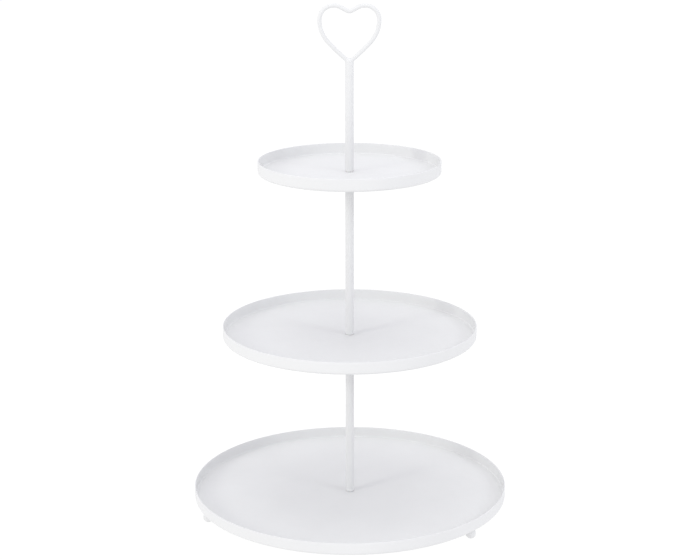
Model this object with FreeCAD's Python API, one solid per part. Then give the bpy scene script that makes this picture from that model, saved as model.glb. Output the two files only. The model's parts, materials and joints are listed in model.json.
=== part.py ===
import FreeCAD, Part
import math
import os

# A three-tier cake stand. Three round pressed-steel trays are clamped between the screwed sections of
# a thin tube stem, a bent-wire heart is welded on top as the handle, and three ball feet are welded
# under the base tray.
#
# Millimetres. +Z is up, the origin is on the stem's axis at the level that the feet stand on, and the
# heart lies in the XZ plane.

Vector = FreeCAD.Vector
ORIGIN = Vector(0, 0, 0)
UP = Vector(0, 0, 1)
SIDEWAYS = Vector(1, 0, 0)

# Trays: one pressed shape in three sizes
BASE_TRAY_RADIUS = 150.0
MIDDLE_TRAY_RADIUS = 120.0
TOP_TRAY_RADIUS = 85.0
TRAY_HEIGHT = 11.7
SHEET = 1.0
TRAY_CORNER = 2.5

# Feet: balls with a small flat at the top, for the weld, and at the bottom
FOOT_HEIGHT = 9.0
BALL_RADIUS = 4.8
FOOT_CIRCLE_RADIUS = 143.5
REAR_FOOT_ANGLE = 81.0
FOOT_NAMES = ["foot_rear", "foot_left", "foot_right"]

# Stem: 8 mm tube in three sections, with an M4 thread at each joint
TUBE_RADIUS = 4.0
TUBE_BORE = 3.2
SECTION_LENGTH = 154.0
UPPER_SECTION_LENGTH = 100.5
THREAD_RADIUS = 2.0
THREAD_TIP = 0.4
RUNNING_CLEARANCE = 0.05
HOLE_CLEARANCE = 0.08
FLANGE_HEIGHT = 0.6
FERRULE_HEIGHT = 2.4
FERRULE_CHAMFER = 0.3
INSERT_DEPTH = 9.0
STUD_ENGAGEMENT = 6.0
PLUG_DEPTH = 8.0

# Washers: thin nylon ones between the trays and the stem, a little narrower than the tube, and a steel
# one under the base tray
NYLON_RADIUS = 3.5
NYLON_THICKNESS = 0.6
STEEL_WASHER_RADIUS = 6.0
STEEL_WASHER_THICKNESS = 1.0

# Base screw: M4 pan head with a cross recess
SCREW_LENGTH = 8.0
HEAD_RADIUS = 4.0
HEAD_HEIGHT = 2.6
HEAD_STRAIGHT = 1.2
RECESS_DEPTH = 1.7
RECESS_REACH = 2.3
RECESS_POINT = 0.9
RECESS_WIDTH = 1.1

# Heart: round wire, described by the centreline of its right half
WIRE_RADIUS = 2.0
LOBE_RADIUS = 13.0
LOBE_OFFSET = 14.1
LOBE_ABOVE_TUBE = 38.0
SIDE_RADIUS = 29.8
SIDE_ANGLE = 43.0
FLANK_RADIUS = 200.0
FLANK_END_ANGLE = 53.0
NOTCH_RADIUS = 4.7
NOTCH_SLOPE = 28.0
BEAD_RADIUS = 3.7

# Heights along the stem, from the bottom up
BASE_TRAY_Z = FOOT_HEIGHT
LOWER_FERRULE_Z = BASE_TRAY_Z + SHEET + NYLON_THICKNESS
LOWER_TUBE_Z = LOWER_FERRULE_Z + FERRULE_HEIGHT
LOWER_TUBE_TOP = LOWER_TUBE_Z + SECTION_LENGTH
MIDDLE_TRAY_Z = LOWER_TUBE_TOP + FLANGE_HEIGHT + NYLON_THICKNESS
MIDDLE_TUBE_Z = MIDDLE_TRAY_Z + SHEET + NYLON_THICKNESS + FLANGE_HEIGHT
MIDDLE_TUBE_TOP = MIDDLE_TUBE_Z + SECTION_LENGTH
TOP_TRAY_Z = MIDDLE_TUBE_TOP + FLANGE_HEIGHT + NYLON_THICKNESS
UPPER_TUBE_Z = TOP_TRAY_Z + SHEET + NYLON_THICKNESS + FLANGE_HEIGHT
UPPER_TUBE_TOP = UPPER_TUBE_Z + UPPER_SECTION_LENGTH


def line(start, end):
    """A straight edge in the XZ plane between two (x, z) points."""
    return Part.makeLine(Vector(start[0], 0, start[1]), Vector(end[0], 0, end[1]))


def on_circle(centre, radius, angle):
    """The (x, z) point of a circle at an angle in degrees, measured from +X towards +Z."""
    turn = math.radians(angle)
    return centre[0] + radius * math.cos(turn), centre[1] + radius * math.sin(turn)


def arc(centre, radius, start_angle, end_angle):
    """A circular edge in the XZ plane."""
    angles = [start_angle, (start_angle + end_angle) / 2, end_angle]
    points = [on_circle(centre, radius, angle) for angle in angles]
    return Part.Arc(*[Vector(x, 0, z) for x, z in points]).toShape()


def turned(edges):
    """A solid turned about the stem's axis from closed edges in the XZ plane."""
    return Part.Face(Part.Wire(edges)).revolve(ORIGIN, UP, 360)


def rod(radius, z_low, z_high):
    """A plain round bar on the stem's axis."""
    return Part.makeCylinder(radius, z_high - z_low, Vector(0, 0, z_low))


def ring(outer_radius, bore_radius, z_low, z_high):
    """A round bar with a bore right through it."""
    return rod(outer_radius, z_low, z_high).cut(rod(bore_radius, z_low, z_high))


def tipped_rod(radius, z_low, z_high, low_chamfer, high_chamfer):
    """A round bar with a chamfer at either end, or none where the chamfer is zero."""
    corners = [(0, z_low), (radius - low_chamfer, z_low), (radius, z_low + low_chamfer)]
    corners += [(radius, z_high - high_chamfer), (radius - high_chamfer, z_high), (0, z_high)]
    outline = [corner for i, corner in enumerate(corners) if corner != corners[i - 1]]
    return turned([line(start, end) for start, end in zip(outline, outline[1:] + outline[:1])])


def tray(radius, z_bottom):
    """A flat round tray with an upright rim, a rounded corner, a half-round lip and a stem hole."""
    hole = THREAD_RADIUS + HOLE_CLEARANCE
    z_floor = z_bottom + SHEET
    z_corner = z_bottom + TRAY_CORNER
    z_lip = z_bottom + TRAY_HEIGHT - SHEET / 2
    corner = (radius - TRAY_CORNER, z_corner)
    inside = radius - SHEET
    edges = [
        line((hole, z_bottom), (corner[0], z_bottom)),
        arc(corner, TRAY_CORNER, 270, 360),
        line((radius, z_corner), (radius, z_lip)),
        arc((radius - SHEET / 2, z_lip), SHEET / 2, 0, 180),
        line((inside, z_lip), (inside, z_corner)),
        arc(corner, TRAY_CORNER - SHEET, 360, 270),
        line((corner[0], z_floor), (hole, z_floor)),
        line((hole, z_floor), (hole, z_bottom)),
    ]
    return turned(edges)


def ball_foot(angle):
    """A ball foot with a flat at the top and bottom, at an angle round the base tray."""
    x, y = on_circle((0, 0), FOOT_CIRCLE_RADIUS, angle)
    flat_latitude = math.degrees(math.asin(FOOT_HEIGHT / 2 / BALL_RADIUS))
    centre = Vector(x, y, FOOT_HEIGHT / 2)
    return Part.makeSphere(BALL_RADIUS, centre, UP, -flat_latitude, flat_latitude, 360)


def tube(z_low, length):
    """One section of the stem's tube."""
    return ring(TUBE_RADIUS, TUBE_BORE, z_low, z_low + length)


def foot_insert(z_tube):
    """A threaded insert pressed into a tube's lower end, with a thin flange under the tube."""
    flange = rod(TUBE_RADIUS, z_tube - FLANGE_HEIGHT, z_tube)
    body = rod(TUBE_BORE, z_tube, z_tube + INSERT_DEPTH)
    thread = rod(THREAD_RADIUS + RUNNING_CLEARANCE, z_tube - FLANGE_HEIGHT, z_tube + INSERT_DEPTH)
    return flange.fuse(body).cut(thread).removeSplitter()


def ferrule_insert(z_tube):
    """The lowest insert, whose flange is a tall ferrule with chamfered edges."""
    z_low = z_tube - FERRULE_HEIGHT
    ferrule = tipped_rod(TUBE_RADIUS, z_low, z_tube, FERRULE_CHAMFER, FERRULE_CHAMFER)
    body = rod(TUBE_BORE, z_tube, z_tube + INSERT_DEPTH)
    thread = rod(THREAD_RADIUS + RUNNING_CLEARANCE, z_low, z_tube + INSERT_DEPTH)
    return ferrule.fuse(body).cut(thread).removeSplitter()


def top_insert(z_tube):
    """A threaded insert pressed into a tube's upper end, which holds the joint's stud."""
    flange = rod(TUBE_RADIUS, z_tube, z_tube + FLANGE_HEIGHT)
    body = rod(TUBE_BORE, z_tube - INSERT_DEPTH, z_tube)
    thread = rod(THREAD_RADIUS, z_tube - INSERT_DEPTH, z_tube + FLANGE_HEIGHT)
    return flange.fuse(body).cut(thread).removeSplitter()


def joint_stud(z_tube):
    """A threaded stud locked in a top insert, which passes the tray and screws into the next tube."""
    z_next_insert = z_tube + FLANGE_HEIGHT + NYLON_THICKNESS + SHEET + NYLON_THICKNESS
    z_low = z_tube - INSERT_DEPTH
    return tipped_rod(THREAD_RADIUS, z_low, z_next_insert + STUD_ENGAGEMENT, THREAD_TIP, THREAD_TIP)


def nylon_washer(z_low):
    """A thin washer that leaves a shadow gap between the tube and a tray."""
    return ring(NYLON_RADIUS, THREAD_RADIUS + HOLE_CLEARANCE, z_low, z_low + NYLON_THICKNESS)


def steel_washer():
    """The wide washer between the base screw's head and the base tray."""
    z_low = BASE_TRAY_Z - STEEL_WASHER_THICKNESS
    return ring(STEEL_WASHER_RADIUS, THREAD_RADIUS + HOLE_CLEARANCE, z_low, BASE_TRAY_Z)


def base_screw():
    """The pan-head screw that holds the base tray to the stem from below."""
    z_seat = BASE_TRAY_Z - STEEL_WASHER_THICKNESS
    z_crown = z_seat - HEAD_HEIGHT
    bend = HEAD_HEIGHT - HEAD_STRAIGHT
    bend_centre = (HEAD_RADIUS - bend, z_seat - HEAD_STRAIGHT)
    head = turned([
        line((0, z_seat), (HEAD_RADIUS, z_seat)),
        line((HEAD_RADIUS, z_seat), (HEAD_RADIUS, bend_centre[1])),
        arc(bend_centre, bend, 0, -90),
        line((bend_centre[0], z_crown), (0, z_crown)),
        line((0, z_crown), (0, z_seat)),
    ])
    shank = tipped_rod(THREAD_RADIUS, z_seat, z_seat + SCREW_LENGTH, 0, THREAD_TIP)
    return head.cut(cross_recess(z_crown)).fuse(shank).removeSplitter()


def cross_recess(z_crown):
    """The tapered cross that a screwdriver fits, cut up into the head from its crown."""
    taper = Part.makeCone(RECESS_REACH, RECESS_POINT, RECESS_DEPTH, Vector(0, 0, z_crown))
    corner = Vector(-RECESS_REACH, -RECESS_WIDTH / 2, z_crown)
    blade = Part.makeBox(2 * RECESS_REACH, RECESS_WIDTH, RECESS_DEPTH, corner)
    crossed = blade.copy()
    crossed.rotate(ORIGIN, UP, 90)
    return blade.fuse(crossed).common(taper)


def heart_centreline():
    """The right half of the heart, from its notch over the lobe and down the flank past the stem."""
    z_lobe = UPPER_TUBE_TOP + LOBE_ABOVE_TUBE
    lobe = (LOBE_OFFSET, z_lobe)
    slope_end = on_circle(lobe, LOBE_RADIUS, 90 + NOTCH_SLOPE)
    slope = math.radians(NOTCH_SLOPE)
    x_notch_end = NOTCH_RADIUS * math.sin(slope)
    z_notch_end = slope_end[1] - (slope_end[0] - x_notch_end) * math.tan(slope)
    notch = (0, z_notch_end + NOTCH_RADIUS * math.cos(slope))
    side = (LOBE_OFFSET + LOBE_RADIUS - SIDE_RADIUS, z_lobe)
    flank = on_circle(side, SIDE_RADIUS - FLANK_RADIUS, -SIDE_ANGLE)
    return Part.Wire([
        arc(notch, NOTCH_RADIUS, -90, NOTCH_SLOPE - 90),
        line((x_notch_end, z_notch_end), slope_end),
        arc(lobe, LOBE_RADIUS, 90 + NOTCH_SLOPE, 0),
        arc(side, SIDE_RADIUS, 0, -SIDE_ANGLE),
        arc(flank, FLANK_RADIUS, -SIDE_ANGLE, -FLANK_END_ANGLE),
    ])


def heart_handle():
    """The bent-wire heart with the smooth weld bead that joins its point to the top of the stem."""
    path = heart_centreline()
    start = path.Edges[0].valueAt(path.Edges[0].FirstParameter)
    section = Part.Wire(Part.makeCircle(WIRE_RADIUS, start, SIDEWAYS))
    half = path.makePipeShell([section], True, True)
    reach = LOBE_OFFSET + LOBE_RADIUS + 2 * WIRE_RADIUS
    height = LOBE_ABOVE_TUBE + LOBE_RADIUS + 2 * WIRE_RADIUS
    corner = Vector(0, -2 * WIRE_RADIUS, UPPER_TUBE_TOP)
    right = half.common(Part.makeBox(reach, 4 * WIRE_RADIUS, height, corner))
    left = right.mirror(ORIGIN, SIDEWAYS)
    bead = Part.makeSphere(BEAD_RADIUS, Vector(0, 0, UPPER_TUBE_TOP), UP, 0, 90, 360)
    return right.fuse([left, bead]).removeSplitter()


def stand():
    """Every piece of the stand, by name."""
    pieces = {
        "base_tray": tray(BASE_TRAY_RADIUS, BASE_TRAY_Z),
        "middle_tray": tray(MIDDLE_TRAY_RADIUS, MIDDLE_TRAY_Z),
        "top_tray": tray(TOP_TRAY_RADIUS, TOP_TRAY_Z),
        "lower_stem_tube": tube(LOWER_TUBE_Z, SECTION_LENGTH),
        "middle_stem_tube": tube(MIDDLE_TUBE_Z, SECTION_LENGTH),
        "upper_stem_tube": tube(UPPER_TUBE_Z, UPPER_SECTION_LENGTH),
        "lower_stem_foot_insert": ferrule_insert(LOWER_TUBE_Z),
        "middle_stem_foot_insert": foot_insert(MIDDLE_TUBE_Z),
        "upper_stem_foot_insert": foot_insert(UPPER_TUBE_Z),
        "lower_stem_top_insert": top_insert(LOWER_TUBE_TOP),
        "middle_stem_top_insert": top_insert(MIDDLE_TUBE_TOP),
        "upper_stem_plug": rod(TUBE_BORE, UPPER_TUBE_TOP - PLUG_DEPTH, UPPER_TUBE_TOP),
        "middle_joint_stud": joint_stud(LOWER_TUBE_TOP),
        "top_joint_stud": joint_stud(MIDDLE_TUBE_TOP),
        "base_tray_over_washer": nylon_washer(BASE_TRAY_Z + SHEET),
        "middle_tray_under_washer": nylon_washer(MIDDLE_TRAY_Z - NYLON_THICKNESS),
        "middle_tray_over_washer": nylon_washer(MIDDLE_TRAY_Z + SHEET),
        "top_tray_under_washer": nylon_washer(TOP_TRAY_Z - NYLON_THICKNESS),
        "top_tray_over_washer": nylon_washer(TOP_TRAY_Z + SHEET),
        "base_screw": base_screw(),
        "base_screw_washer": steel_washer(),
        "heart_handle": heart_handle(),
    }
    for i, name in enumerate(FOOT_NAMES):
        pieces[name] = ball_foot(REAR_FOOT_ANGLE + i * 360 / len(FOOT_NAMES))
    return pieces


os.makedirs("parts", exist_ok=True)
for name, shape in stand().items():
    shape.exportStep("parts/" + name + ".step")
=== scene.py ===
import json
import math

import bmesh
import bpy
from mathutils import Matrix, Vector, noise


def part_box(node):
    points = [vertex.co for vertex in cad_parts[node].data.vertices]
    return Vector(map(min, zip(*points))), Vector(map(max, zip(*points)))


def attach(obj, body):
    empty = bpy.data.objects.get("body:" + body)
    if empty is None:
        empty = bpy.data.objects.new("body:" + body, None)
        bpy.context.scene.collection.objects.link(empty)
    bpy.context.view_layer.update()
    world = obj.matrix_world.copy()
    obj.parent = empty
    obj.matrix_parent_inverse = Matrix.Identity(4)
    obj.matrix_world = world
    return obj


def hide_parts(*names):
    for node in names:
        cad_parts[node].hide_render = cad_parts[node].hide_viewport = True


# The looks of a three-tier cake stand: smooth turned and bent pieces with a white powder coat, bright
# zinc-plated fasteners with real threads, and nylon washers. Every piece stands for one CAD node and
# rides on that node's body. Lengths are in metres and angles in degrees, unless a name says otherwise.

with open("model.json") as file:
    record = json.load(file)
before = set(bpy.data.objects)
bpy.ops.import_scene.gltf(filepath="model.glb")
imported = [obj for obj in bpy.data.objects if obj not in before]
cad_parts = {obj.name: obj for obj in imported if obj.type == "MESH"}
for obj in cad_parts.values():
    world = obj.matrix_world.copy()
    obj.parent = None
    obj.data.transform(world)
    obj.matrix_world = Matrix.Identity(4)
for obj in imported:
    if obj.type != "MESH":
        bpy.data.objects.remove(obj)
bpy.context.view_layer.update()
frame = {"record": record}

MM = 0.001
UP = Vector((0, 0, 1))

NODE_BODY = {node: body for body, nodes in frame["record"]["behaviour"]["bodies"].items() for node in nodes}
NODE_SLOT = {part["node"]: part["material_slot"] for part in frame["record"]["subparts"]}

# Sheet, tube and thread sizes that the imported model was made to. TUBE_BORE is a radius.
SHEET = 1.0 * MM
TRAY_CORNER = 2.5 * MM
HOLE_RADIUS = 2.08 * MM
TUBE_BORE = 3.2 * MM
THREAD_RADIUS = 2.0 * MM
FEMALE_RADIUS = 2.05 * MM
THREAD_PITCH = 0.7 * MM
THREAD_DEPTH = 0.34 * MM
FEMALE_DEPTH = 0.25 * MM
THREAD_POINTS_PER_TURN = 8
TIP_CHAMFER = 0.4 * MM

# Pressed trays: how the sheet waves outside the clamped middle, and how finely each is drawn
STILL_RADIUS = 12 * MM
WAVE_HEIGHT = 0.12 * MM
WAVES_PER_METRE = 14
FLOOR_STEPS = 16
WALL_STEPS = 4
BEND_STEPS = 8
TRAY_SEGMENTS = {"base_tray": 288, "middle_tray": 240, "top_tray": 192}

# How many flats the smaller round pieces are drawn with
TUBE_SEGMENTS = 72
RING_SEGMENTS = 64
SMALL_SEGMENTS = 48
WIRE_SEGMENTS = 32

# Levels and radii closer than this are taken as the same
TOUCHING = 1e-6

# Edges that are broken or eased
TUBE_EDGE = 0.12 * MM
NYLON_EDGE = 0.08 * MM
STEEL_EDGE = 0.15 * MM
EASED_EDGE = 0.3 * MM

# Ball feet: the flare of weld above the ball
FLARE_WIDTH = 1.1 * MM
FLARE_HEIGHT = 0.5 * MM
FLARE_ANGLE = 14
BALL_STEPS = 28

# Pan-head screw and its cross recess
HEAD_RADIUS = 4.0 * MM
HEAD_BEND = 1.4 * MM
RECESS_DEPTH = 1.7 * MM
RECESS_REACH = 2.2 * MM
RECESS_POINT = 0.9 * MM
RECESS_WIDTH = 0.55 * MM
RECESS_TAPER = 0.75
CUTTER_PROUD = 0.3 * MM

# Heart of round wire, by the centreline of its right half, above the top of the upper tube
WIRE_RADIUS = 2.0 * MM
LOBE_RADIUS = 13.0 * MM
LOBE_OFFSET = 14.1 * MM
LOBE_ABOVE_TUBE = 38.0 * MM
SIDE_RADIUS = 29.8 * MM
SIDE_ANGLE = 43.0
FLANK_RADIUS = 200.0 * MM
FLANK_END_ANGLE = 51.5
NOTCH_RADIUS = 4.7 * MM
NOTCH_SLOPE = 28.0
NOTCH_STEPS = 8
LOBE_STEPS = 40
SIDE_STEPS = 30

# Weld bead at the heart's point, and how it is fused with the wire
BEAD_SIZE = (3.75 * MM, 3.6 * MM, 3.5 * MM)
VOXEL = 0.25 * MM
FILLET_HEIGHT = 2 * MM
FILLET_REACH = 8 * MM


# ---------------------------------------------------------------- outlines

def arc_points(centre, radius, start, end, count):
    """Points along an arc about an (r, z) centre, from one angle to another in degrees, ends included."""
    made = []
    for i in range(count + 1):
        turn = math.radians(start + (end - start) * i / count)
        made.append((centre[0] + radius * math.cos(turn), centre[1] + radius * math.sin(turn)))
    return made


def run_points(start, end, count):
    """Evenly spaced points from start towards end, without the two ends."""
    shares = [i / count for i in range(1, count)]
    return [tuple(a + (b - a) * share for a, b in zip(start, end)) for share in shares]


def rounded(corners, radii, count=4):
    """An (r, z) outline with each corner rounded to its own radius, or left sharp where that is zero."""
    made = []
    for i, corner in enumerate(corners):
        if radii[i] == 0:
            made.append(corner)
            continue
        here = Vector(corner)
        before = (Vector(corners[i - 1]) - here).normalized()
        after = (Vector(corners[(i + 1) % len(corners)]) - here).normalized()
        half = before.angle(after) / 2
        reach = radii[i] / math.tan(half)
        centre = here + (before + after).normalized() * radii[i] / math.sin(half)
        first, last = here + before * reach - centre, here + after * reach - centre
        start, end = (math.degrees(math.atan2(spoke.y, spoke.x)) for spoke in (first, last))
        end += 360 * round((start - end) / 360)
        made += arc_points(centre, radii[i], start, end, count)
    return made


# ---------------------------------------------------------------- meshes

def finished(made, name, sharp_angle=40):
    """A smooth-shaded object made from a bmesh, with hard edges kept where faces meet sharply."""
    bmesh.ops.remove_doubles(made, verts=made.verts, dist=1e-7)
    bmesh.ops.recalc_face_normals(made, faces=made.faces)
    mesh = bpy.data.meshes.new(name)
    made.to_mesh(mesh)
    made.free()
    mesh.shade_smooth()
    mesh.set_sharp_from_angle(angle=math.radians(sharp_angle))
    piece = bpy.data.objects.new(name, mesh)
    bpy.context.scene.collection.objects.link(piece)
    return piece


def apply_modifiers(piece):
    """Replaces a piece's mesh with the one that its modifiers make."""
    bpy.context.view_layer.update()
    evaluated = piece.evaluated_get(bpy.context.evaluated_depsgraph_get())
    mesh = bpy.data.meshes.new_from_object(evaluated)
    piece.modifiers.clear()
    piece.data = mesh


def lathe(outline, segments, axis=(0, 0), closed=True, warp=None):
    """A bmesh turned about a vertical axis from an (r, z) outline. A point at r = 0 becomes one pole.
    warp, where given, moves each point: it takes (r, angle, z) and returns the new (r, z)."""
    made = bmesh.new()
    rings = []
    for r, z in outline:
        if r == 0:
            rings.append([made.verts.new((axis[0], axis[1], z))] * segments)
            continue
        ring = []
        for i in range(segments):
            angle = 2 * math.pi * i / segments
            radius, height = warp(r, angle, z) if warp else (r, z)
            x, y = axis[0] + radius * math.cos(angle), axis[1] + radius * math.sin(angle)
            ring.append(made.verts.new((x, y, height)))
        rings.append(ring)
    pairs = list(zip(rings, rings[1:])) + ([(rings[-1], rings[0])] if closed else [])
    for low, high in pairs:
        for i in range(segments):
            j = (i + 1) % segments
            corners = [low[i], low[j], high[j], high[i]]
            face = [v for k, v in enumerate(corners) if v is not corners[k - 1]]
            if len(face) > 2:
                made.faces.new(face)
    return made


def helix(thread_radius, depth, z_low, z_high):
    """A warp that cuts a right-hand thread into the stretch of an outline that lies at one radius.
    A negative depth cuts outwards, for a threaded hole."""
    def warp(r, angle, z):
        if abs(r - thread_radius) > TOUCHING or not z_low <= z <= z_high:
            return r, z
        turn = z / THREAD_PITCH - angle / (2 * math.pi)
        fade = min(1.0, (z - z_low) / THREAD_PITCH, (z_high - z) / THREAD_PITCH)
        groove = 0.5 - 0.5 * math.cos(2 * math.pi * turn)
        return r - depth * groove * fade, z
    return warp


# ---------------------------------------------------------------- the stand's pieces

def low_high(node):
    """A CAD node's lowest and highest level."""
    low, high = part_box(node)
    return low.z, high.z


def tray(node):
    """A pressed tray: flat floor, rounded corner, upright rim and half-round lip. The sheet waves by
    a tenth of a millimetre, as pressed sheet does, but stays flat where the stem clamps it."""
    low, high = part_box(node)
    radius, z_low, z_lip = high.x, low.z, high.z - SHEET / 2
    corner = (radius - TRAY_CORNER, z_low + TRAY_CORNER)
    inside = radius - SHEET
    z_floor = z_low + SHEET
    hole = [(HOLE_RADIUS, z_low), (HOLE_RADIUS, z_floor)]
    under = hole[:1] + run_points(hole[0], (corner[0], z_low), FLOOR_STEPS)
    outer_corner = arc_points(corner, TRAY_CORNER, 270, 360, BEND_STEPS)
    wall = run_points((radius, corner[1]), (radius, z_lip), WALL_STEPS)
    lip = arc_points((radius - SHEET / 2, z_lip), SHEET / 2, 0, 180, BEND_STEPS)
    inner_wall = run_points((inside, z_lip), (inside, corner[1]), WALL_STEPS)
    inner_corner = arc_points(corner, TRAY_CORNER - SHEET, 360, 270, BEND_STEPS)
    top = run_points((corner[0], z_floor), hole[1], FLOOR_STEPS) + hole[1:]
    outline = under + outer_corner + wall + lip + inner_wall + inner_corner + top

    def ripple(r, angle, z):
        place = Vector((r * math.cos(angle), r * math.sin(angle), z_low)) * WAVES_PER_METRE
        past_clamp = min(max((r - STILL_RADIUS) / (4 * STILL_RADIUS), 0), 1)
        before_rim = min(max((radius - r) / (2 * STILL_RADIUS), 0), 1)
        return r, z + WAVE_HEIGHT * (past_clamp * before_rim) * noise.noise(place)

    return finished(lathe(outline, TRAY_SEGMENTS[node], warp=ripple), node + "_pressed")


def tube(node):
    """A length of stem tube with its cut ends broken."""
    z_low, z_high = low_high(node)
    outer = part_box(node)[1].x
    corners = [(TUBE_BORE, z_low), (outer, z_low), (outer, z_high), (TUBE_BORE, z_high)]
    return finished(lathe(rounded(corners, [0, TUBE_EDGE, TUBE_EDGE, 0]), TUBE_SEGMENTS), node + "_drawn")


def bead_profile(radius, flat, z_low, z_high):
    """A ball's outline between two flats, with a flare of weld that widens it at the upper one."""
    middle = (0, (z_low + z_high) / 2)
    latitude = math.degrees(math.asin((z_high - z_low) / 2 / radius))
    ball = arc_points(middle, radius, -latitude, latitude - FLARE_ANGLE, BALL_STEPS)
    neck = ball[-1]
    toe = (flat + FLARE_WIDTH, z_high)
    bend = [neck, ((neck[0] * 2 + flat) / 3, z_high - FLARE_HEIGHT), toe]
    curve = []
    for i in range(1, BEND_STEPS + 1):
        t = i / BEND_STEPS
        weights = ((1 - t) ** 2, 2 * t * (1 - t), t ** 2)
        curve.append(tuple(sum(w * v for w, v in zip(weights, along)) for along in zip(*bend)))
    return [(0, z_low)] + ball + curve + [(0, z_high)]


def ball_foot(node):
    """A ball foot with the small fillet of weld that holds it under the base tray."""
    low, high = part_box(node)
    axis = ((low.x + high.x) / 2, (low.y + high.y) / 2)
    radius = (high.x - low.x) / 2
    flat = math.sqrt(radius ** 2 - ((high.z - low.z) / 2) ** 2)
    outline = bead_profile(radius, flat, low.z, high.z)
    return finished(lathe(outline, SMALL_SEGMENTS, axis, closed=False), node + "_welded")


def washer(node, edge):
    """A flat washer with its edges rounded to a radius."""
    z_low, z_high = low_high(node)
    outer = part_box(node)[1].x
    corners = [(HOLE_RADIUS, z_low), (outer, z_low), (outer, z_high), (HOLE_RADIUS, z_high)]
    return finished(lathe(rounded(corners, [edge] * 4), RING_SEGMENTS), node + "_punched")


def thread_run(radius, z_from, z_to):
    """Points close enough together along a cylinder to carry a thread."""
    count = max(2, round(abs(z_to - z_from) / THREAD_PITCH * THREAD_POINTS_PER_TURN))
    return run_points((radius, z_from), (radius, z_to), count)


def insert(node, flange_low, flange_high, female):
    """A threaded insert: a body inside the tube and a flange or ferrule against its end. A female one
    has a thread cut in its bore. The bore of any other is filled by its stud."""
    z_low, z_high = low_high(node)
    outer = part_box(node)[1].x
    bore = FEMALE_RADIUS if female else THREAD_RADIUS
    eased = min(EASED_EDGE, (flange_high - flange_low) / 4)
    if flange_low <= z_low + TOUCHING:
        corners = [(bore, z_low), (outer, z_low), (outer, flange_high), (TUBE_BORE, flange_high),
                   (TUBE_BORE, z_high), (bore, z_high)]
        radii = [0, eased, eased, 0, 0, 0]
    else:
        corners = [(bore, z_low), (TUBE_BORE, z_low), (TUBE_BORE, flange_low), (outer, flange_low),
                   (outer, z_high), (bore, z_high)]
        radii = [0, 0, 0, eased, eased, 0]
    outline = rounded(corners, radii) + thread_run(bore, z_high, z_low)
    depth = -FEMALE_DEPTH if female else 0
    made = lathe(outline, RING_SEGMENTS, warp=helix(bore, depth, z_low, z_high))
    return finished(made, node + "_pressed_in")


def stud(node):
    """A stud with a real thread from end to end and chamfered tips."""
    z_low, z_high = low_high(node)
    z_first, z_last = z_low + TIP_CHAMFER, z_high - TIP_CHAMFER
    outline = [(0, z_low), (THREAD_RADIUS - TIP_CHAMFER, z_low), (THREAD_RADIUS, z_first)]
    outline += thread_run(THREAD_RADIUS, z_first, z_last)
    outline += [(THREAD_RADIUS, z_last), (THREAD_RADIUS - TIP_CHAMFER, z_high), (0, z_high)]
    thread = helix(THREAD_RADIUS, THREAD_DEPTH, z_first, z_last)
    turned = lathe(outline, SMALL_SEGMENTS, closed=False, warp=thread)
    return finished(turned, node + "_threaded", sharp_angle=60)


def plug(node):
    """The plug inside the top of the upper tube."""
    z_low, z_high = low_high(node)
    outline = [(0, z_low), (TUBE_BORE - EASED_EDGE, z_low), (TUBE_BORE, z_low + EASED_EDGE)]
    outline += [(TUBE_BORE, z_high), (0, z_high)]
    return finished(lathe(outline, SMALL_SEGMENTS, closed=False), node + "_turned")


def cross_cutter(z_crown):
    """The tapered cross of a screwdriver recess, as a bmesh that reaches just past the crown."""
    levels = [(z_crown - CUTTER_PROUD, RECESS_REACH, RECESS_WIDTH),
              (z_crown + RECESS_DEPTH, RECESS_POINT, RECESS_WIDTH * RECESS_TAPER)]
    made = bmesh.new()
    rings = []
    for z, far, near in levels:
        ring = []
        for quarter in range(4):
            turn = Matrix.Rotation(quarter * math.pi / 2, 3, "Z")
            for corner in [(far, -near, z), (far, near, z), (near, near, z)]:
                ring.append(made.verts.new(turn @ Vector(corner)))
        rings.append(ring)
    count = len(rings[0])
    for i in range(count):
        j = (i + 1) % count
        made.faces.new([rings[0][i], rings[0][j], rings[1][j], rings[1][i]])
    made.faces.new(rings[0])
    made.faces.new(rings[1])
    return made


def base_screw(node):
    """The pan-head screw under the base tray, with a rolled thread and a cross recess."""
    low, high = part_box(node)
    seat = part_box("base_screw_washer")[0].z
    z_last = high.z - TIP_CHAMFER
    centre = (HEAD_RADIUS - HEAD_BEND, low.z + HEAD_BEND)
    outline = [(0, low.z)] + arc_points(centre, HEAD_BEND, 270, 360, 10)
    outline += [(HEAD_RADIUS, seat - STEEL_EDGE), (HEAD_RADIUS - STEEL_EDGE, seat), (THREAD_RADIUS, seat)]
    outline += thread_run(THREAD_RADIUS, seat, z_last)
    outline += [(THREAD_RADIUS, z_last), (THREAD_RADIUS - TIP_CHAMFER, high.z), (0, high.z)]
    thread = helix(THREAD_RADIUS, THREAD_DEPTH, seat, z_last)
    turned = lathe(outline, SMALL_SEGMENTS, closed=False, warp=thread)
    screw = finished(turned, node + "_threaded", sharp_angle=50)
    cutter = finished(cross_cutter(low.z), "recess_cutter")
    cut = screw.modifiers.new("recess", "BOOLEAN")
    cut.object = cutter
    cut.operation = "DIFFERENCE"
    cut.solver = "EXACT"
    apply_modifiers(screw)
    bpy.data.objects.remove(cutter)
    screw.data.set_sharp_from_angle(angle=math.radians(50))
    return screw


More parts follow.
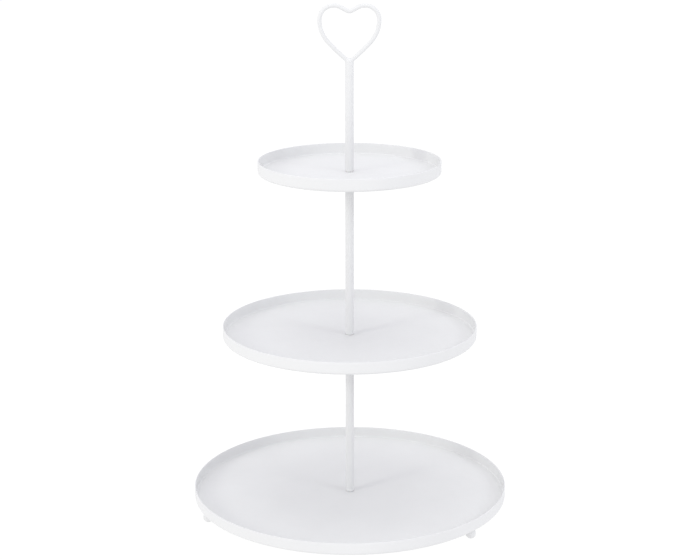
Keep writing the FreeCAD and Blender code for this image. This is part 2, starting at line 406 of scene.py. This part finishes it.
def heart_centreline(z_tube_top):
    """Points down the right half of the heart, from its notch over the lobe to past the stem's axis."""
    lobe = (LOBE_OFFSET, z_tube_top + LOBE_ABOVE_TUBE)
    slope = math.radians(NOTCH_SLOPE)
    slope_end = arc_points(lobe, LOBE_RADIUS, 90 + NOTCH_SLOPE, 0, 1)[0]
    x_notch = NOTCH_RADIUS * math.sin(slope)
    z_notch = slope_end[1] - (slope_end[0] - x_notch) * math.tan(slope)
    notch = (0, z_notch + NOTCH_RADIUS * math.cos(slope))
    side = (LOBE_OFFSET + LOBE_RADIUS - SIDE_RADIUS, lobe[1])
    shift = math.radians(-SIDE_ANGLE)
    flank = (side[0] + (SIDE_RADIUS - FLANK_RADIUS) * math.cos(shift),
             side[1] + (SIDE_RADIUS - FLANK_RADIUS) * math.sin(shift))
    points = arc_points(notch, NOTCH_RADIUS, -90, NOTCH_SLOPE - 90, NOTCH_STEPS)
    points += run_points((x_notch, z_notch), slope_end, NOTCH_STEPS)
    points += arc_points(lobe, LOBE_RADIUS, 90 + NOTCH_SLOPE, 0, LOBE_STEPS)
    points += arc_points(side, SIDE_RADIUS, 0, -SIDE_ANGLE, SIDE_STEPS)[1:]
    points += arc_points(flank, FLANK_RADIUS, -SIDE_ANGLE, -FLANK_END_ANGLE, SIDE_STEPS)[1:]
    return points


def wire_arm(made, points, side):
    """Adds one arm of round wire to a bmesh, along (x, z) points mirrored by side."""
    across = Vector((0, 1, 0))
    rings = []
    for i, point in enumerate(points):
        ahead = Vector(points[min(i + 1, len(points) - 1)]) - Vector(points[max(i - 1, 0)])
        if i == 0:
            ahead = Vector((1, 0))
        outward = Vector((-side * ahead.y, 0, ahead.x)).normalized()
        middle = Vector((side * point[0], 0, point[1]))
        ring = []
        for j in range(WIRE_SEGMENTS):
            turn = 2 * math.pi * j / WIRE_SEGMENTS
            offset = outward * math.cos(turn) + across * math.sin(turn)
            ring.append(made.verts.new(middle + offset * WIRE_RADIUS))
        rings.append(ring)
    for low, high in zip(rings, rings[1:]):
        for j in range(WIRE_SEGMENTS):
            k = (j + 1) % WIRE_SEGMENTS
            made.faces.new([low[j], low[k], high[k], high[j]])
    made.faces.new(rings[0])
    made.faces.new(rings[-1])


def heart_handle(node):
    """The bent-wire heart. Its point is fused with the weld bead by remeshing, smoothed there into a
    soft fillet, and cut flat where it sits on the top of the tube."""
    z_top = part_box("upper_stem_tube")[1].z
    points = heart_centreline(z_top)
    made = bmesh.new()
    wire_arm(made, points, 1)
    wire_arm(made, points, -1)
    bead = Matrix.Translation((0, 0, z_top)) @ Matrix.Diagonal((*BEAD_SIZE, 1))
    bmesh.ops.create_icosphere(made, subdivisions=4, radius=1.0, matrix=bead)
    heart = finished(made, node + "_bent")
    voxel = heart.modifiers.new("fuse", "REMESH")
    voxel.mode = "VOXEL"
    voxel.voxel_size = VOXEL
    voxel.adaptivity = 0
    apply_modifiers(heart)
    soften(heart, Vector((0, 0, z_top + FILLET_HEIGHT)), FILLET_REACH)
    fused = bmesh.new()
    fused.from_mesh(heart.data)
    whole = fused.verts[:] + fused.edges[:] + fused.faces[:]
    cut = bmesh.ops.bisect_plane(fused, geom=whole, plane_co=(0, 0, z_top), plane_no=-UP, clear_outer=True)
    rim = [e for e in cut["geom_cut"] if isinstance(e, bmesh.types.BMEdge)]
    bmesh.ops.contextual_create(fused, geom=rim)
    fused.to_mesh(heart.data)
    fused.free()
    heart.data.shade_smooth()
    heart.data.set_sharp_from_angle(angle=math.radians(60))
    return heart


def soften(piece, centre, reach):
    """Smooths a remeshed piece lightly everywhere and strongly near one point."""
    whole = piece.modifiers.new("even", "SMOOTH")
    whole.factor = 0.5
    whole.iterations = 4
    group = piece.vertex_groups.new(name="near")
    for vertex in piece.data.vertices:
        near = 1 - (vertex.co - centre).length / reach
        if near > 0:
            group.add([vertex.index], min(1.0, 2 * near), "REPLACE")
    weld = piece.modifiers.new("weld", "SMOOTH")
    weld.factor = 0.5
    weld.iterations = 40
    weld.vertex_group = "near"
    apply_modifiers(piece)


# ---------------------------------------------------------------- materials

class Finish:
    """A node material in the making, with short ways to add what the finishes share."""

    def __init__(self, name):
        self.material = bpy.data.materials.new(name)
        self.material.use_nodes = True
        self.tree = self.material.node_tree
        self.shader = self.tree.nodes["Principled BSDF"]
        self.place = self.tree.nodes.new("ShaderNodeTexCoord").outputs["Object"]
        self.normal = None

    def grain(self, size, detail=2.0, stretch=(1, 1, 1)):
        """Noise with features of about this size in metres, from 0 to 1."""
        scaled = self.tree.nodes.new("ShaderNodeMapping")
        scaled.inputs["Scale"].default_value = stretch
        self.tree.links.new(self.place, scaled.inputs["Vector"])
        made = self.tree.nodes.new("ShaderNodeTexNoise")
        made.inputs["Scale"].default_value = 1 / size
        made.inputs["Detail"].default_value = detail
        self.tree.links.new(scaled.outputs["Vector"], made.inputs["Vector"])
        return made.outputs["Fac"]

    def between(self, factor, low, high):
        """Maps the middle of a noise onto the range from low to high."""
        made = self.tree.nodes.new("ShaderNodeMapRange")
        made.inputs["From Min"].default_value = 0.3
        made.inputs["From Max"].default_value = 0.7
        made.inputs["To Min"].default_value = low
        made.inputs["To Max"].default_value = high
        self.tree.links.new(factor, made.inputs["Value"])
        return made.outputs["Result"]

    def colours(self, factor, low, high):
        """Mixes two colours by a noise, for the base colour."""
        mix = self.tree.nodes.new("ShaderNodeMix")
        mix.data_type = "RGBA"
        mix.inputs["A"].default_value = (*low, 1)
        mix.inputs["B"].default_value = (*high, 1)
        self.tree.links.new(self.between(factor, 0, 1), mix.inputs["Factor"])
        self.tree.links.new(mix.outputs["Result"], self.shader.inputs["Base Color"])

    def roughness(self, factor, low, high):
        """Varies the roughness by a noise, between two values."""
        self.tree.links.new(self.between(factor, low, high), self.shader.inputs["Roughness"])

    def relief(self, factor, height):
        """Adds a bump of this height in metres on top of those added before."""
        made = self.tree.nodes.new("ShaderNodeBump")
        made.inputs["Distance"].default_value = height
        self.tree.links.new(factor, made.inputs["Height"])
        if self.normal:
            self.tree.links.new(self.normal, made.inputs["Normal"])
        self.normal = made.outputs["Normal"]
        self.tree.links.new(self.normal, self.shader.inputs["Normal"])


def powder_coat():
    """White satin powder coat: faint orange peel, a fine grain, and a slightly uneven film."""
    made = Finish("powder_coat")
    made.colours(made.grain(45 * MM, 3), (0.738, 0.740, 0.744), (0.756, 0.758, 0.762))
    made.roughness(made.grain(6 * MM, 3), 0.46, 0.56)
    made.relief(made.grain(0.5 * MM, 1), 0.009 * MM)
    made.relief(made.grain(2.2 * MM, 2), 0.045 * MM)
    made.shader.inputs["Specular IOR Level"].default_value = 0.28
    return made.material


def zinc_plate():
    """Bright zinc plate with fine turning marks and a faint warm and blue passivation."""
    made = Finish("zinc_plate")
    made.shader.inputs["Metallic"].default_value = 1.0
    made.colours(made.grain(1.5 * MM, 3), (0.50, 0.52, 0.56), (0.66, 0.65, 0.60))
    made.roughness(made.grain(0.6 * MM, 3), 0.24, 0.40)
    made.relief(made.grain(0.12 * MM, 2, (0.15, 0.15, 1)), 0.004 * MM)
    return made.material


def nylon():
    """Milky white nylon that lets a little light through."""
    made = Finish("nylon")
    made.colours(made.grain(2.5 * MM, 2), (0.64, 0.64, 0.62), (0.72, 0.72, 0.70))
    made.roughness(made.grain(0.8 * MM, 2), 0.34, 0.46)
    made.relief(made.grain(0.3 * MM, 2), 0.006 * MM)
    made.shader.inputs["Subsurface Weight"].default_value = 0.15
    made.shader.inputs["Subsurface Scale"].default_value = 0.3 * MM
    return made.material


FINISHES = {"powder_coat": powder_coat(), "zinc_plate": zinc_plate(), "nylon": nylon()}


# ---------------------------------------------------------------- assembly

def stand_in(piece, node):
    """The piece takes a CAD node's place: its body, its material slot and the finish of that slot."""
    piece.data.materials.clear()
    piece.data.materials.append(FINISHES[NODE_SLOT[node]])
    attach(piece, NODE_BODY[node])
    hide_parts(node)


def build_stand():
    """Every piece of the stand."""
    for node in TRAY_SEGMENTS:
        stand_in(tray(node), node)
    for node in ("foot_rear", "foot_left", "foot_right"):
        stand_in(ball_foot(node), node)
    for section in ("lower", "middle", "upper"):
        node = section + "_stem_tube"
        stand_in(tube(node), node)
        foot = section + "_stem_foot_insert"
        stand_in(insert(foot, low_high(foot)[0], low_high(node)[0], True), foot)
    for section in ("lower", "middle"):
        top = section + "_stem_top_insert"
        z_tube_top = low_high(section + "_stem_tube")[1]
        stand_in(insert(top, z_tube_top, low_high(top)[1], False), top)
    for node in ("middle_joint_stud", "top_joint_stud"):
        stand_in(stud(node), node)
    for node in NODE_SLOT:
        if NODE_SLOT[node] == "nylon":
            stand_in(washer(node, NYLON_EDGE), node)
    stand_in(washer("base_screw_washer", STEEL_EDGE), "base_screw_washer")
    stand_in(base_screw("base_screw"), "base_screw")
    stand_in(plug("upper_stem_plug"), "upper_stem_plug")
    stand_in(heart_handle("heart_handle"), "heart_handle")


build_stand()


# ---------------------------------------------------------------- stage, light and camera

FLOOR_REACH = 12.0
FLOOR_GLOW = 0.93
ROOM_COLOUR = (0.96, 0.95, 1.0)
ROOM_STRENGTH = 0.985
STAND_MIDDLE = Vector((0, 0, 0.2))

# Each light's name, place, size, watts and colour
LIGHTS = (
    ("key", (-3.4, -2.6, 1.7), 1.0, 42.0, (0.98, 1.0, 0.90)),
    ("overhead", (0, 0, 4.4), 3.6, 31.0, (0.96, 1.0, 0.92)),
    ("right", (3.3, -2.2, 2.4), 1.2, 26.0, (0.93, 1.0, 0.98)),
)

SENSOR_WIDTH_MM = 36.0
LENS_MM = 90.26
CAMERA_PLACE = (0.0003, -1.5911, 0.6621)
CAMERA_DOWN = 15.446
CAMERA_ROLL = -0.08
CAMERA_NEAR = 0.1
CAMERA_FAR = 50.0


def floor():
    """A wide, plain floor that glows white, so that hardly any shadow is left on it. It is seen through
    from below, so that the stand's underside can be looked at."""
    made = bmesh.new()
    bmesh.ops.create_grid(made, x_segments=1, y_segments=1, size=FLOOR_REACH)
    ground = finished(made, "floor")
    finish = Finish("floor_paper")
    finish.shader.inputs["Base Color"].default_value = (0.10, 0.10, 0.10, 1)
    finish.shader.inputs["Roughness"].default_value = 1.0
    finish.shader.inputs["Specular IOR Level"].default_value = 0.0
    finish.shader.inputs["Emission Color"].default_value = (1, 1, 1, 1)
    finish.shader.inputs["Emission Strength"].default_value = FLOOR_GLOW
    nodes, links = finish.tree.nodes, finish.tree.links
    side = nodes.new("ShaderNodeNewGeometry")
    clear = nodes.new("ShaderNodeBsdfTransparent")
    mix = nodes.new("ShaderNodeMixShader")
    links.new(side.outputs["Backfacing"], mix.inputs["Fac"])
    links.new(finish.shader.outputs["BSDF"], mix.inputs[1])
    links.new(clear.outputs["BSDF"], mix.inputs[2])
    links.new(mix.outputs["Shader"], nodes["Material Output"].inputs["Surface"])
    ground.data.materials.append(finish.material)


def soft_light(name, place, size, watts, colour):
    """A square area light that faces the middle of the stand."""
    lamp = bpy.data.lights.new(name, "AREA")
    lamp.shape = "SQUARE"
    lamp.size = size
    lamp.energy = watts
    lamp.color = colour
    holder = bpy.data.objects.new(name, lamp)
    holder.location = place
    holder.rotation_euler = (STAND_MIDDLE - Vector(place)).to_track_quat("-Z", "Y").to_euler()
    bpy.context.scene.collection.objects.link(holder)


def room_light(colour, strength):
    """Even white light from all round."""
    world = bpy.data.worlds.new("studio")
    world.use_nodes = True
    shade = world.node_tree.nodes["Background"]
    shade.inputs["Color"].default_value = (*colour, 1)
    shade.inputs["Strength"].default_value = strength
    bpy.context.scene.world = world


def camera():
    """A long lens, a little above the top tray, looking down at the stand."""
    lens = bpy.data.cameras.new("camera")
    lens.sensor_width = SENSOR_WIDTH_MM
    lens.lens = LENS_MM
    lens.clip_start = CAMERA_NEAR
    lens.clip_end = CAMERA_FAR
    view = bpy.data.objects.new("camera", lens)
    pitch = Matrix.Rotation(math.radians(90 - CAMERA_DOWN), 4, "X")
    roll = Matrix.Rotation(math.radians(CAMERA_ROLL), 4, "Z")
    view.matrix_world = Matrix.Translation(CAMERA_PLACE) @ pitch @ roll
    bpy.context.scene.collection.objects.link(view)
    bpy.context.scene.camera = view


floor()
room_light(ROOM_COLOUR, ROOM_STRENGTH)
for light in LIGHTS:
    soft_light(*light)
camera()
bpy.context.scene.view_settings.view_transform = "Standard"
